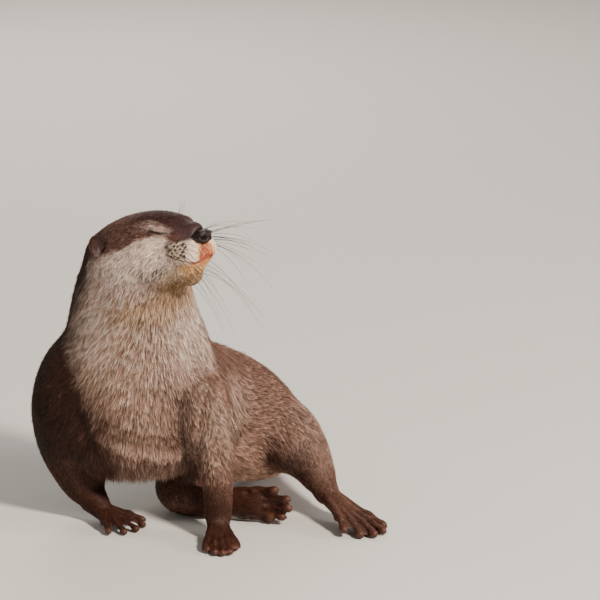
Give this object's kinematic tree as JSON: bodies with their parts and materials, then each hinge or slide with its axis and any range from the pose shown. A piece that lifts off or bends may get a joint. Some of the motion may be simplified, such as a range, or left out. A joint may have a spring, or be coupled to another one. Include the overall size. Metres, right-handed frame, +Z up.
{
  "type": "small-clawed otter",
  "caption": "Life-size otter sitting up on its forepaws with its head turned and raised, eyes shut, and its hind legs and tail laid on the floor.",
  "frame": {"origin": "on the floor under the middle of the bounding box", "axes": "+Z up; the chest faces -Y, the animal's left side is towards +X, the trunk runs back towards +X and +Y and the tail lies behind along +Y"},
  "size_m": [0.2874, 0.392, 0.26],
  "materials": {
    "brown_coat": "short dense fur with a soft sheen, dark chocolate brown",
    "grey_coat": "short dense fur with pale tips, grey to tan",
    "pale_coat": "very short fur, silvery cream",
    "belly_coat": "short dense fur, light grey-brown",
    "bare_skin": "thinly haired skin with reddish toes",
    "eyelid": "closed lids with very short dark hair",
    "nose_pad": "moist black skin"
  },
  "bodies": {
    "root": {"head": "brown_coat", "muzzle": "pale_coat", "jaw": "pale_coat", "nose": "nose_pad", "eye_left": "eyelid", "eye_right": "eyelid", "ear_left": "brown_coat", "ear_right": "brown_coat", "neck": "grey_coat", "chest": "grey_coat", "belly": "belly_coat", "hips": "brown_coat", "upper_foreleg_left": "brown_coat", "forearm_left": "brown_coat", "forepaw_left": "bare_skin", "upper_foreleg_right": "brown_coat", "forearm_right": "brown_coat", "forepaw_right": "bare_skin", "thigh_left": "brown_coat", "shin_left": "brown_coat", "hind_foot_left": "bare_skin", "shin_right": "brown_coat", "hind_foot_right": "bare_skin", "tail_base": "brown_coat", "tail_middle": "brown_coat", "tail_tip": "brown_coat"}
  },
  "joints": []
}
